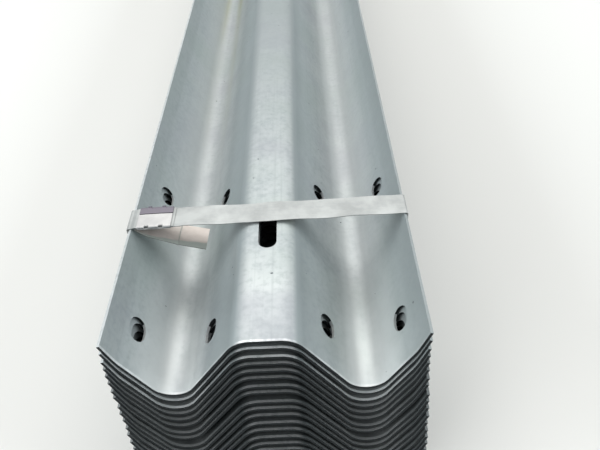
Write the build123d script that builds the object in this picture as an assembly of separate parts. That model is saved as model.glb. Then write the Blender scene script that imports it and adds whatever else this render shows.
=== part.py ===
from build123d import *
from math import asin, atan2, cos, degrees, radians, sin, tan
import os

# Highway guardrail sections: loose two-wave rails nested in one bundle and held by steel straps.
# Millimetres, +Z up. X runs across the rails and Y along them.
# The bundle rests on its straps at Z = 0, with the origin at the bottom centre of its box.

# Rail: one galvanised two-wave section
RAIL_LENGTH = 4320.0
RAIL_WIDTH = 310.0
RAIL_HEIGHT = 85.0
CREST_DROP = 2.0  # the crest lies this far below the lip tips
SHEET = 3.0
CREST_FLAT = 28.0
BEND_INSIDE = 24.0  # crest and valley bends
LIP_BEND_INSIDE = 10.0
LIP_WIDTH = 28.0  # from the sharp corner to the tip
INNER_SLOPE = 55.0  # degrees from level, crest to valley
LIP_SLOPE = 70.0  # the lips stand open a little, as they do in a tight bundle

# Slots in the rail, each square to its sheet
POST_SLOT_LENGTH = 72.0
POST_SLOT_WIDTH = 20.0
POST_SLOT_FROM_END = 160.0
SPLICE_SLOT_LENGTH = 28.0
SPLICE_SLOT_WIDTH = 23.0
SPLICE_HALF_SPACING = 108.0  # splice slots lie this far each side of an end post slot
INNER_SPLICE_DEPTH = 45.5  # below the crest, to the middle of the slot
OUTER_SPLICE_DEPTH = 38.0

# Slots in the rails under the top one are plain, and only the outermost rails have splice slots
SHOWING_FROM_TOP = 2  # rails whose splice slots show from above
SHOWING_FROM_BELOW = 1
SLOT_CORNER_SHARE = 0.29  # of a plain slot's width, cut off each corner

# Bundle, from the top rail down. Play is the rise over the tightest nesting.
# Step is how far the next rail down stands out towards the near end.
# Side is the way that the next rail down sits over.
GAPS = [
    # play, step, side
    (0.45, 1.2, 1),
    (1.85, 1.8, -1),
    (0.45, 0.9, 1),
    (0.30, 1.6, 1),
    (1.05, 1.1, 1),
    (2.45, 2.0, 1),
    (0.35, 0.8, 1),
    (4.75, 2.3, 1),
    (0.45, 1.4, 1),
    (2.35, 1.0, 1),
    (2.45, 2.1, 1),
    (2.15, 1.3, -1),
    (2.65, 1.9, 1),
    (2.65, 0.9, 1),
    (0.65, 1.7, 1),
    (1.25, 1.8, -1),
]
LIP_CLEARANCE = 0.08  # left between two nested rails that bear on each other

# Straps: one steel band each, both ends gripped by a seal beside the left lips.
# The band's under end is folded back beneath the seal and hangs out as a loose tail.
STRAP_WIDTH = 32.0
STRAP_SHEET = 0.9
STRAP_CLEARANCE = 0.15
STRAP_FROM_END = 177.0  # from an end of the top rail to the middle of the strap
MIDDLE_STRAP_OFFSET = 150.0  # keeps the middle strap off the middle post slot
STRAP_CORNER_INSIDE = 1.5
RAMP_FROM_LIP = 2.0  # where the band's upper end comes down to the lip
RAMP_LENGTH = 4.0
LAYER_GAP = 0.1
UPPER_END_PAST_SEAL = 3.0
FOLD_PAST_SEAL = 2.4
FOLD_LEG = 9.0
TAIL_LENGTH = 80.0
TAIL_TURN = 4.5  # degrees, towards the near end
TAIL_DROOP = 21.5  # degrees below level, down into the left valley

# Seals: a sleeve folded round both layers, its two flanges meeting on top
SEAL_LENGTH = 38.0
SEAL_FROM_LIP = 9.0
SEAL_SHEET = 1.2
SEAL_CLEARANCE = 0.1
SEAL_SEAM_GAP = 1.2
SEAL_SEAM_FROM_FAR_EDGE = 11.0
CRIMP_LENGTH = 4.5
CRIMP_DEPTH = 2.0
CRIMP_CUT_DOWN = 1.8  # into the side wall, below the top flange
CRIMP_SPACING = 16.0
CRIMP_TAB_LENGTH = 3.0
CRIMP_TAB_ANGLE = 35.0  # degrees, turned up from the seal's top


def heading(angle):
    """Return the unit vector at an angle in degrees from X."""
    return Vector(cos(radians(angle)), sin(radians(angle)))


def crossing(first, first_way, second, second_way):
    """Return the point where two lines meet, each given by a point and a direction."""
    reach = (second - first).cross(second_way).Z / first_way.cross(second_way).Z
    return first + first_way * reach


def left_of(direction):
    """Return the unit vector to the left of a direction."""
    unit = direction.normalized()
    return Vector(-unit.Y, unit.X)


def offset_corners(corners, distance):
    """Move a bent line's corners to its left, keeping each leg parallel to itself."""
    moved = []
    for index, corner in enumerate(corners):
        legs = []
        if index > 0:
            legs.append(left_of(corner - corners[index - 1]))
        if index < len(corners) - 1:
            legs.append(left_of(corners[index + 1] - corner))
        mitre = legs[0]
        if len(legs) == 2:
            mitre = (legs[0] + legs[1]) * (1 / (1 + legs[0].dot(legs[1])))
        moved.append(corner + mitre * distance)
    return moved


def turn_sides(corners):
    """Return 1 for each left turn along a bent line, and -1 for each right turn."""
    sides = []
    for before, corner, after in zip(corners, corners[1:], corners[2:]):
        turn = (corner - before).cross(after - corner).Z
        sides.append(1 if turn > 0 else -1)
    return sides


def sheet_face(corners, radii, distance):
    """Draw one face of a bent sheet, at a distance to the left of its line."""
    sides = turn_sides(corners)
    face_radii = [radius and radius - side * distance for radius, side in zip(radii, sides)]
    return FilletPolyline(*offset_corners(corners, distance), radius=face_radii)


def bent_sheet(corners, radii, left, right):
    """Draw a bent sheet's section around a line of sharp corners.

    The radii are those of the line itself, and a radius of 0 is a crease with no round.
    Left and right are the distances from the line to the two faces of the sheet.
    """
    left_line = sheet_face(corners, radii, left)
    right_line = sheet_face(corners, radii, -right)
    ends = [Line(left_line @ 0, right_line @ 0), Line(left_line @ 1, right_line @ 1)]
    return make_face([*left_line.edges(), *right_line.edges(), *ends])


# Rail section, along the middle of the sheet, with the crest at X = 0 and Z = 0.
# The outer slope runs from the sharp corner of the lip to touch the round of the valley.
HALF_SHEET = SHEET / 2
BEND = BEND_INSIDE + HALF_SHEET
LIP_BEND = LIP_BEND_INSIDE + HALF_SHEET
CREST_CORNER_X = CREST_FLAT / 2 + BEND * tan(radians(INNER_SLOPE / 2))
VALLEY_DEPTH = RAIL_HEIGHT - CREST_DROP - SHEET
INNER_RUN = (VALLEY_DEPTH - BEND * (1 - cos(radians(INNER_SLOPE)))) / tan(radians(INNER_SLOPE))
VALLEY_X = CREST_CORNER_X + INNER_RUN + BEND * sin(radians(INNER_SLOPE))
TIP_X = RAIL_WIDTH / 2 - HALF_SHEET * sin(radians(LIP_SLOPE))
TIP_Z = HALF_SHEET + CREST_DROP - HALF_SHEET * cos(radians(LIP_SLOPE))

crest_corner = Vector(CREST_CORNER_X, 0)
lip_tip = Vector(TIP_X, TIP_Z)
lip_corner = lip_tip - heading(LIP_SLOPE) * LIP_WIDTH
from_valley = lip_corner - Vector(VALLEY_X, BEND - VALLEY_DEPTH)
OUTER_SLOPE = degrees(atan2(from_valley.Y, from_valley.X) + asin(BEND / from_valley.length))
valley_corner = crossing(crest_corner, heading(-INNER_SLOPE), lip_corner, heading(OUTER_SLOPE))
right_half = [crest_corner, valley_corner, lip_corner, lip_tip]
left_half = [Vector(-point.X, point.Y) for point in reversed(right_half)]
rail_radii = [LIP_BEND, BEND, BEND, BEND, BEND, LIP_BEND]


def slot_outline(length, width, round_ends):
    """Draw a slot with round ends, or with plain cut corners for a rail under the top one."""
    if round_ends:
        return SlotOverall(length, width)
    return chamfer(Rectangle(length, width).vertices(), SLOT_CORNER_SHARE * width)


def slot_cutter(outline, x, y, z, lean):
    """Return a cutter along the rail, square to a sheet that leans this far about Y."""
    normal = (sin(radians(lean)), 0, cos(radians(lean)))
    plane = Plane(origin=(x, y, z), x_dir=(0, 1, 0), z_dir=normal)
    return extrude(plane * outline, amount=2 * SHEET, both=True)


def guardrail_section(round_ends, spliced):
    """Return one rail with its length centred and its crest on the Y axis."""
    section = bent_sheet(left_half + right_half, rail_radii, HALF_SHEET, HALF_SHEET)
    rail = extrude(Plane.XZ * section, amount=RAIL_LENGTH / 2, both=True)
    end_slot_y = RAIL_LENGTH / 2 - POST_SLOT_FROM_END
    post_slot = slot_outline(POST_SLOT_LENGTH, POST_SLOT_WIDTH, round_ends)
    cutters = [slot_cutter(post_slot, 0, y, 0, 0) for y in (-end_slot_y, 0, end_slot_y)]
    if spliced:
        splice_slot = slot_outline(SPLICE_SLOT_LENGTH, SPLICE_SLOT_WIDTH, round_ends)
        inner_x = CREST_CORNER_X + INNER_SPLICE_DEPTH / tan(radians(INNER_SLOPE))
        outer_rise = -OUTER_SPLICE_DEPTH - valley_corner.Y
        outer_x = valley_corner.X + outer_rise / tan(radians(OUTER_SLOPE))
        for y in (end_slot_y - SPLICE_HALF_SPACING, end_slot_y + SPLICE_HALF_SPACING):
            for place in (-y, y):
                for side in (-1, 1):
                    inner = (side * inner_x, place, -INNER_SPLICE_DEPTH, side * INNER_SLOPE)
                    outer = (side * outer_x, place, -OUTER_SPLICE_DEPTH, -side * OUTER_SLOPE)
                    cutters.append(slot_cutter(splice_slot, *inner))
                    cutters.append(slot_cutter(splice_slot, *outer))
    return rail - cutters


# Bundle: where each rail lies, from the top one down, before the whole is centred
BEARING_SLOPE = radians(max(LIP_SLOPE, OUTER_SLOPE))
SEAT_PITCH = SHEET / cos(BEARING_SLOPE)
places = [Vector(0, 0, 0)]
for play, step, side in GAPS:
    slack = play * cos(BEARING_SLOPE) - LIP_CLEARANCE
    shift = side * slack / sin(BEARING_SLOPE)
    places.append(places[-1] + Vector(shift, -step, -SEAT_PITCH - play))

# Strap line: the band's inner face, drawn tight round the bundle
top = places[0]
bottom = places[-1]
LEAN = (bottom.X - top.X) / (bottom.Z - top.Z)
stray = [place.X - top.X - LEAN * (place.Z - top.Z) for place in places]
TOP_LINE_Z = HALF_SHEET + CREST_DROP + STRAP_CLEARANCE
BOTTOM_LINE_Z = bottom.Z - VALLEY_DEPTH - HALF_SHEET - STRAP_CLEARANCE
UPPER_LINE_Z = TOP_LINE_Z + STRAP_SHEET + LAYER_GAP
LEFT_LIP_X = -RAIL_WIDTH / 2
SEAL_START_X = LEFT_LIP_X + SEAL_FROM_LIP
SEAL_END_X = SEAL_START_X + SEAL_LENGTH
SEAL_BOTTOM_Z = TOP_LINE_Z - SEAL_CLEARANCE - SEAL_SHEET
FOLD_X = SEAL_START_X - FOLD_PAST_SEAL
FOLD_Z = SEAL_BOTTOM_Z - STRAP_CLEARANCE
RAMP_X = LEFT_LIP_X + RAMP_FROM_LIP


def flank(side, stray_out):
    """Return the strap line's corners up one side, from under the bundle to its top."""
    out = HALF_SHEET + STRAP_CLEARANCE
    slope = Vector(side * cos(radians(OUTER_SLOPE)), sin(radians(OUTER_SLOPE)))
    lip = Vector(side * cos(radians(LIP_SLOPE)), sin(radians(LIP_SLOPE)))
    rise = Vector(LEAN, 1)
    base = Vector(bottom.X, bottom.Z)
    under = Vector(bottom.X, BOTTOM_LINE_Z)
    on_slope = base + Vector(side * lip_corner.X, lip_corner.Y) - left_of(slope) * side * out
    on_lip = base + Vector(side * lip_tip.X, lip_tip.Y) - left_of(lip) * side * out
    on_side = Vector(top.X + side * (RAIL_WIDTH / 2 + STRAP_CLEARANCE + stray_out), 0)
    return [
        crossing(under, Vector(1, 0), on_slope, slope),
        crossing(on_slope, slope, on_lip, lip),
        crossing(on_lip, lip, on_side, rise),
        crossing(on_side, rise, Vector(0, TOP_LINE_Z), Vector(1, 0)),
    ]


def strap_tail():
    """Return the loose tail, from where it leaves the fold under the seal."""
    start = Vector(FOLD_X + FOLD_LEG, 0, FOLD_Z - FOLD_LEG * tan(radians(TAIL_DROOP)))
    turned = Pos(start) * Rot(0, TAIL_DROOP, 0) * Rot(0, 0, -TAIL_TURN)
    middle = Vector((TAIL_LENGTH - FOLD_LEG) / 2, 0, -STRAP_SHEET / 2)
    return turned * Pos(middle) * Box(TAIL_LENGTH, STRAP_WIDTH, STRAP_SHEET)


def strap_band():
    """Return one band with its two ends in the seal, about Y = 0.

    It is creased at the ramp, at the fold and where it leaves the lowest lips.
    """
    droop = FOLD_LEG * tan(radians(TAIL_DROOP))
    upper_end = [
        Vector(SEAL_END_X + UPPER_END_PAST_SEAL, UPPER_LINE_Z),
        Vector(RAMP_X + RAMP_LENGTH, UPPER_LINE_Z),
        Vector(RAMP_X, TOP_LINE_Z),
    ]
    under_end = [
        Vector(FOLD_X, TOP_LINE_Z),
        Vector(FOLD_X, FOLD_Z),
        Vector(FOLD_X + FOLD_LEG, FOLD_Z - droop),
    ]
    left_flank = flank(-1, -min(stray))
    right_flank = flank(1, max(stray))
    corners = upper_end + left_flank[::-1] + right_flank + under_end
    on_valley = BEND + HALF_SHEET + STRAP_CLEARANCE
    on_lip = LIP_BEND + HALF_SHEET + STRAP_CLEARANCE
    flank_radii = [on_valley, on_lip, 0, STRAP_CORNER_INSIDE]
    ramp_radii = [0, 0]
    fold_radii = [0, 0]
    radii = ramp_radii + flank_radii[::-1] + flank_radii + fold_radii
    section = bent_sheet(corners, radii, 0, STRAP_SHEET)
    return extrude(Plane.XZ * section, amount=STRAP_WIDTH / 2, both=True) + strap_tail()


def strap_seal():
    """Return the sleeve that grips both ends of a band, about Y = 0."""
    inside_width = STRAP_WIDTH + 2 * SEAL_CLEARANCE
    inside_height = 2 * STRAP_SHEET + LAYER_GAP + 2 * SEAL_CLEARANCE
    top_z = inside_height / 2 + SEAL_SHEET / 2
    outer = Box(SEAL_LENGTH, inside_width + 2 * SEAL_SHEET, inside_height + 2 * SEAL_SHEET)
    seam = Pos(0, inside_width / 2 - SEAL_SEAM_FROM_FAR_EDGE, top_z)
    seal = outer - Box(SEAL_LENGTH, inside_width, inside_height)
    seal -= seam * Box(SEAL_LENGTH, SEAL_SEAM_GAP, SEAL_SHEET)
    notch_height = 2 * CRIMP_CUT_DOWN + SEAL_SHEET
    notch = Box(CRIMP_LENGTH, 2 * (CRIMP_DEPTH + SEAL_SHEET), notch_height)
    tab = Box(CRIMP_LENGTH, CRIMP_TAB_LENGTH + SEAL_SHEET, SEAL_SHEET)
    for x in (-CRIMP_SPACING / 2, CRIMP_SPACING / 2):
        for side in (-1, 1):
            # The crimp's metal is turned up from the flange, so the root is on its top face
            root = Pos(x, side * (inside_width / 2 - CRIMP_DEPTH), top_z + SEAL_SHEET / 2)
            turned = root * Rot(side * CRIMP_TAB_ANGLE, 0, 0)
            seal -= Pos(x, side * (inside_width / 2 + SEAL_SHEET), top_z) * notch
            seal += turned * Pos(0, side * CRIMP_TAB_LENGTH / 2, 0) * tab
    middle_z = UPPER_LINE_Z - LAYER_GAP / 2
    return Pos(SEAL_START_X + SEAL_LENGTH / 2, 0, middle_z) * seal


# Subcomponents: rail_01 is the bottom rail, and each strap has its seal
top_rail = guardrail_section(round_ends=True, spliced=True)
showing_rail = guardrail_section(round_ends=False, spliced=True)
buried_rail = guardrail_section(round_ends=False, spliced=False)
band = strap_band()
seal = strap_seal()
pieces = {}
for number, place in enumerate(reversed(places), start=1):
    from_top = len(places) - number
    rail = buried_rail
    if from_top < SHOWING_FROM_TOP or number <= SHOWING_FROM_BELOW:
        rail = showing_rail
    if from_top == 0:
        rail = top_rail
    pieces[f"rail_{number:02d}"] = Pos(place) * rail
end_strap_y = RAIL_LENGTH / 2 - STRAP_FROM_END
strap_places = {"near": -end_strap_y, "middle": MIDDLE_STRAP_OFFSET, "far": end_strap_y}
for name, y in strap_places.items():
    pieces[f"strap_{name}"] = Pos(0, y, 0) * band
    pieces[f"seal_{name}"] = Pos(0, y, 0) * seal

# Move the origin to the bottom centre of the bundle's box, then write one file for each piece
box = Compound(children=[piece.solid() for piece in pieces.values()]).bounding_box()
home = Pos(-box.center().X, -box.center().Y, -box.min.Z)
os.makedirs("parts", exist_ok=True)
for name, piece in pieces.items():
    export_step(home * piece, f"parts/{name}.step")
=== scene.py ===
"""Looks for a strapped bundle of nested two-wave guardrail sections.

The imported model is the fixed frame. Every piece made here stands where its own node stands:
the rails get round slots, rolled edges and zinc lumps, the bands get their slack, their creases
and their drooping tails, and the seals get their folded sleeves. Sizes are in millimetres unless
a comment says otherwise, and finished meshes are in metres, in the frame of the model.
"""

import logging
from collections.abc import Iterable, Sequence
from dataclasses import dataclass, field
from enum import Enum, IntEnum
from math import asin, atan2, ceil, cos, degrees, exp, pi, radians, sin, tan

import bmesh
import bpy
from bmesh.types import BMesh, BMVert
from bpy.types import Material, Mesh, Node, NodeOutputs, NodeSocket, NodeTree, Object
from mathutils import Matrix, Vector


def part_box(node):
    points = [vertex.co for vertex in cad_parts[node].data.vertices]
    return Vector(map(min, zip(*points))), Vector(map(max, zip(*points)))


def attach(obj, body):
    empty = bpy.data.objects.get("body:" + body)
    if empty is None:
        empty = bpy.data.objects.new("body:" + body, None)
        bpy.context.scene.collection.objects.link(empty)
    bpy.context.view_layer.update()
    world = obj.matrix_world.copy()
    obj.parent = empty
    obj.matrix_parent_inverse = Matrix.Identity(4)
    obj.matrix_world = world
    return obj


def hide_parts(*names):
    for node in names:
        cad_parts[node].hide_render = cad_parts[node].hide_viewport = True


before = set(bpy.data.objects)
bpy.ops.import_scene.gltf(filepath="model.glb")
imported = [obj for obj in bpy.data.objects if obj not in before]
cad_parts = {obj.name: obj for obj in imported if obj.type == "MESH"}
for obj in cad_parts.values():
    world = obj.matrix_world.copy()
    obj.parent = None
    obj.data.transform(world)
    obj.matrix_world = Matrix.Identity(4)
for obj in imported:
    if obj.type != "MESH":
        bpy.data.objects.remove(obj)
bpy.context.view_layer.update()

BODY = "root"
MM = 0.001
WHITE = (1.0, 1.0, 1.0, 1.0)
WHOLE = (0.0, 1.0)  # a share's own limits
NOISE_ROUGHNESS = 0.55
ROUND_SEGMENTS = 2
LARGE_FACE_WEIGHT = 80  # how far the large faces lead the shading, of 100
LOG = logging.getLogger("bundle")

Pair = tuple[float, float]
Triple = tuple[float, float, float]
Shares = tuple[Pair, ...]  # places across a rail, in millimetres, with the share at each
Line = list[tuple[Vector, Vector]]  # points, each with the unit vector to the line's left
Station = tuple[Vector, Vector, Vector, float]  # middle, way across, way outward, place along the tail


class SlotKind(Enum):
    """The two kinds of slot punched in a rail."""

    POST = "post"
    SPLICE = "splice"


class StrapPlace(Enum):
    """Where a band is drawn round the bundle."""

    NEAR = "near"
    MIDDLE = "middle"
    FAR = "far"


class RailFace(IntEnum):
    """The kinds of face on a rail, in the order of its mesh's materials."""

    SHEET = 0
    SHEARED = 1
    DROSS = 2
    # pale rims: a painted highlight on edges, on the ends' upper faces and on upward slot walls
    RIM = 3


class Slot(Enum):
    """The record's material slots."""

    SHEET = "galvanised_sheet"
    STRAP = "strap_steel"
    SEAL = "seal_steel"


def linear(colour: str) -> tuple[float, float, float, float]:
    """Turn an sRGB hex colour into linear values for a shader.

    Args:
        colour: Six hex digits after a hash sign.

    Returns:
        Red, green, blue and an alpha of 1.
    """
    parts = [int(colour[at : at + 2], 16) / 255 for at in (1, 3, 5)]
    values = [part / 12.92 if part <= 0.04045 else ((part + 0.055) / 1.055) ** 2.4 for part in parts]
    return (values[0], values[1], values[2], 1.0)


def give(tree: NodeTree, socket: NodeSocket, source: object) -> None:
    """Set a socket to a plain value, or link it to another socket or to a node's first output.

    Args:
        tree: The tree that gets the link.
        socket: The socket.
        source: The value, the other socket or the node.
    """
    if isinstance(source, Node):
        source = source.outputs[0]
    if isinstance(source, NodeSocket):
        tree.links.new(source, socket)
    else:
        socket.default_value = source


def add_node(tree: NodeTree, kind: str, inputs: dict | None = None, **settings: object) -> Node:
    """Add one node with its settings, values and links.

    Args:
        tree: The tree that gets the node.
        kind: The node's type name.
        inputs: A value, a socket or a node for each input, by the input's name or number.
        **settings: The node's own properties.

    Returns:
        The new node.
    """
    node = tree.nodes.new(kind)
    for name, value in settings.items():
        setattr(node, name, value)
    for key, source in (inputs or {}).items():
        give(tree, node.inputs[key], source)
    return node


class Finish:
    """A material under construction: its tree, its shader and what all finishes share."""

    def __init__(self, name: str) -> None:
        """Start a material with one principled shader on Object coordinates.

        Args:
            name: The material's name.
        """
        self.material = bpy.data.materials.new(name)
        self.material.use_nodes = True
        self.tree = self.material.node_tree
        self.shader = self.tree.nodes["Principled BSDF"]
        self.place = self.add("ShaderNodeTexCoord", "Object")

    def add(self, kind: str, output: str | int, inputs: dict | None = None, **settings: object) -> NodeSocket:
        """Add one node and return one of its outputs."""
        return add_node(self.tree, kind, inputs, **settings).outputs[output]

    def pattern(self, size_mm: float, detail: float, along: Triple = (1.0, 1.0, 1.0)) -> NodeSocket:
        """Return noise whose largest patches have a real size.

        Args:
            size_mm: That size, in millimetres.
            detail: How many finer layers the noise has.
            along: What each axis is scaled by: less than 1 draws the patches out along it.

        Returns:
            The noise's socket.
        """
        place = self.add("ShaderNodeMapping", "Vector", {"Vector": self.place, "Scale": along})
        inputs = {"Vector": place, "Scale": 1 / (size_mm * MM), "Detail": detail}
        return self.add("ShaderNodeTexNoise", "Fac", inputs | {"Roughness": NOISE_ROUGHNESS})

    def share(
        self, source: NodeSocket, limits: Pair, shares: Pair = WHOLE, times: NodeSocket | None = None
    ) -> NodeSocket:
        """Return a share that follows a source, and stays the same beyond its limits.

        Args:
            source: The source.
            limits: Its two limits.
            shares: The share at each.
            times: Another share that this one is multiplied by.

        Returns:
            The share's socket.
        """
        ends = zip(("From Min", "From Max", "To Min", "To Max"), (*limits, *shares))
        share = self.add("ShaderNodeMapRange", "Result", {"Value": source, **dict(ends)})
        if times is None:
            return share
        return self.add("ShaderNodeMath", 0, {0: share, 1: times}, operation="MULTIPLY")

    def coat(
        self, under: str | NodeSocket, source: NodeSocket, limits: Pair, most: float, colour: str
    ) -> NodeSocket:
        """Lay a colour over another.

        Args:
            under: The colour below, as a hex colour or a socket.
            source: What the new colour follows.
            limits: The source's values where none of it shows and where most shows.
            most: The most of it that shows.
            colour: The new colour, as a hex colour.

        Returns:
            The mixed colour's socket.
        """
        below = linear(under) if isinstance(under, str) else under
        inputs = {0: self.share(source, limits, (0.0, most)), 6: below, 7: linear(colour)}
        return self.add("ShaderNodeMix", 2, inputs, data_type="RGBA")

    def relief(self, *layers: tuple[NodeSocket, float, float]) -> None:
        """Roughen the surface by patterns.

        Args:
            *layers: Each pattern, with its depth in millimetres and its strength, from the lowest up.
        """
        under: dict[str, NodeSocket] = {}
        for height, depth_mm, strength in layers:
            inputs = {"Height": height, "Strength": strength, "Distance": depth_mm * MM}
            under = {"Normal": self.add("ShaderNodeBump", "Normal", inputs | under)}
        self.dress(**under)

    def dress(self, **inputs: object) -> None:
        """Give the shader's sockets, with underscores for spaces, their values or sources."""
        for name, source in inputs.items():
            give(self.tree, self.shader.inputs[name.replace("_", " ")], source)


def baked(work: Object, *helpers: Object) -> Mesh:
    """Return a working object's mesh with its modifiers applied, and remove it and its helpers.

    Args:
        work: The working object.
        *helpers: Objects that its modifiers read.

    Returns:
        The finished mesh.
    """
    bpy.context.view_layer.update()
    graph = bpy.context.evaluated_depsgraph_get()
    mesh = bpy.data.meshes.new_from_object(work.evaluated_get(graph), depsgraph=graph)
    for spare in (work, *helpers):
        bpy.data.objects.remove(spare)
    return mesh


def new_object(name: str, mesh: Mesh) -> Object:
    """Link a new object that holds a mesh.

    Args:
        name: The object's name.
        mesh: The mesh.

    Returns:
        The new object.
    """
    made = bpy.data.objects.new(name, mesh)
    bpy.context.scene.collection.objects.link(made)
    return made


def bridge(work: BMesh, first: Sequence, second: Sequence, number: int = 0) -> None:
    """Lay a strip of faces between two rows of vertices.

    Args:
        work: The mesh under construction.
        first: One row.
        second: The next row, which has as many vertices.
        number: The faces' material number.
    """
    for at in range(len(first) - 1):
        quad = (first[at], first[at + 1], second[at + 1], second[at])
        work.faces.new(quad).material_index = number


def plain_mesh(work: BMesh, name: str) -> Mesh:
    """Turn a shape's faces outwards, return it as a plain mesh and free the working one.

    Args:
        work: The mesh under construction.
        name: The plain mesh's name.

    Returns:
        The plain mesh.
    """
    bmesh.ops.recalc_face_normals(work, faces=work.faces)
    mesh = bpy.data.meshes.new(name)
    work.to_mesh(mesh)
    work.free()
    return mesh


def round_edges(mesh: Mesh, width_mm: float, angle: float, shell_mm: float = 0.0, rim: int = -1) -> Mesh:
    """Return a mesh with its sharp edges rounded and its shading evened.

    Args:
        mesh: The mesh, whose faces are made smooth.
        width_mm: The width of the round.
        angle: The smallest angle between two faces, in degrees, whose edge is rounded.
        shell_mm: A wall that an open surface gets first, half on each side.
        rim: The material number of the rounds, or -1 for their neighbours' one.

    Returns:
        The finished mesh.
    """
    work = new_object("edge_work", mesh)
    for face in mesh.polygons:
        face.use_smooth = True
    if shell_mm:
        wall = work.modifiers.new("wall", "SOLIDIFY")
        wall.thickness = shell_mm * MM
        wall.offset = 0.0
    rounding = work.modifiers.new("rolled_edges", "BEVEL")
    rounding.width = width_mm * MM
    rounding.segments = ROUND_SEGMENTS
    rounding.limit_method = "ANGLE"
    rounding.angle_limit = radians(angle)
    rounding.material = rim
    even = work.modifiers.new("even_normals", "WEIGHTED_NORMAL")
    even.weight = LARGE_FACE_WEIGHT
    return baked(work)


def place_piece(piece: Object, node: str) -> Object:
    """Fix a finished piece to the body and let it stand for its node.

    Args:
        piece: The finished object, with its place in its mesh.
        node: The node that it stands for.

    Returns:
        The same object.
    """
    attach(piece, BODY)
    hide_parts(node)
    LOG.info("%s: %d faces, stands for %s", piece.name, len(piece.data.polygons), node)
    return piece


def heading(angle: float) -> Vector:
    """Return the unit vector at an angle in degrees from level."""
    return Vector((cos(radians(angle)), sin(radians(angle))))


def left_of(way: Vector) -> Vector:
    """Return the unit vector to the left of a direction."""
    unit = way.normalized()
    return Vector((-unit.y, unit.x))


def crossing(first: Vector, first_way: Vector, second: Vector, second_way: Vector) -> Vector:
    """Return the point where two lines meet, each given by a point and a direction."""
    return first + first_way * ((second - first).cross(second_way) / first_way.cross(second_way))


def round_line(corners: Sequence[Vector], radii: Sequence[float], step: float) -> Line:
    """Round the corners of a bent line.

    Args:
        corners: The sharp corners, both ends included.
        radii: One radius for each inner corner.
        step: Degrees between two points of a round.

    Returns:
        The rounded line.
    """
    line = [(corners[0], left_of(corners[1] - corners[0]))]
    for before, corner, after, radius in zip(corners, corners[1:], corners[2:], radii):
        way_in, way_out = (corner - before).normalized(), (after - corner).normalized()
        turn = atan2(way_in.cross(way_out), way_in.dot(way_out))
        start = corner - way_in * radius * tan(abs(turn) / 2)
        side = 1 if turn > 0 else -1
        centre = start + left_of(way_in) * side * radius
        count = max(2, round(degrees(abs(turn)) / step))
        for index in range(count + 1):
            normal = left_of(way_in)
            normal.rotate(Matrix.Rotation(turn * index / count, 2))
            line.append((centre - normal * side * radius, normal))
    line.append((corners[-1], left_of(corners[-1] - corners[-2])))
    return line


def divided(line: Line, step: float) -> Line:
    """Add points to a line, so that none is further than a step from the next.

    Args:
        line: The line.
        step: The longest way between two points.

    Returns:
        The same line with more points.
    """
    points = [line[0]]
    for (first, first_left), (last, last_left) in zip(line, line[1:]):
        count = max(1, ceil((last - first).length / step))
        for index in range(1, count + 1):
            share = index / count
            points.append((first.lerp(last, share), first_left.lerp(last_left, share).normalized()))
    return points


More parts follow.
